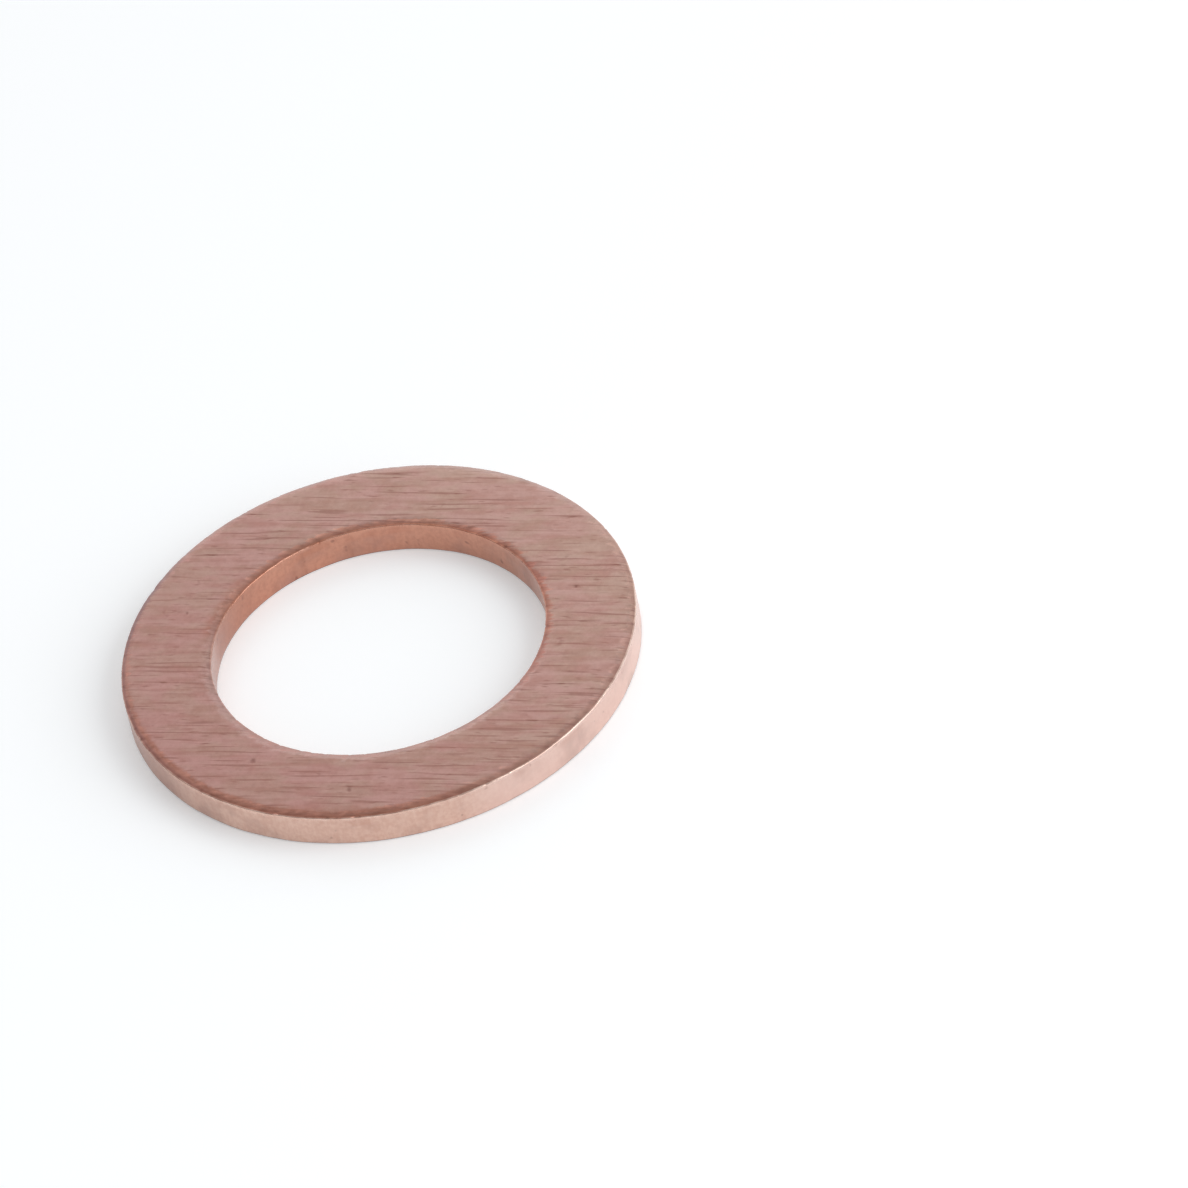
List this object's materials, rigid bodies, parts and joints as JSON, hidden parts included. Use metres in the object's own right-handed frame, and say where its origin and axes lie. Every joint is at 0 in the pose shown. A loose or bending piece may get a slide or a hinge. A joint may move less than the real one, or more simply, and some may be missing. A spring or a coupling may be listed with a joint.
{
  "type": "copper sealing washer",
  "caption": "Flat round copper sealing washer with a plain bore, a brushed upper face and edges rolled down by punching.",
  "frame": {"origin": "centre of the hole on the back face, which lies on the floor", "axes": "+Z along the hole, out of the brushed face; +X and +Y across the ring"},
  "size_m": [0.0159, 0.0158, 0.0011],
  "materials": {
    "copper": "matte brushed copper with straight strokes across the upper face, smoother walls"
  },
  "bodies": {
    "root": {"washer": "copper"}
  },
  "joints": []
}
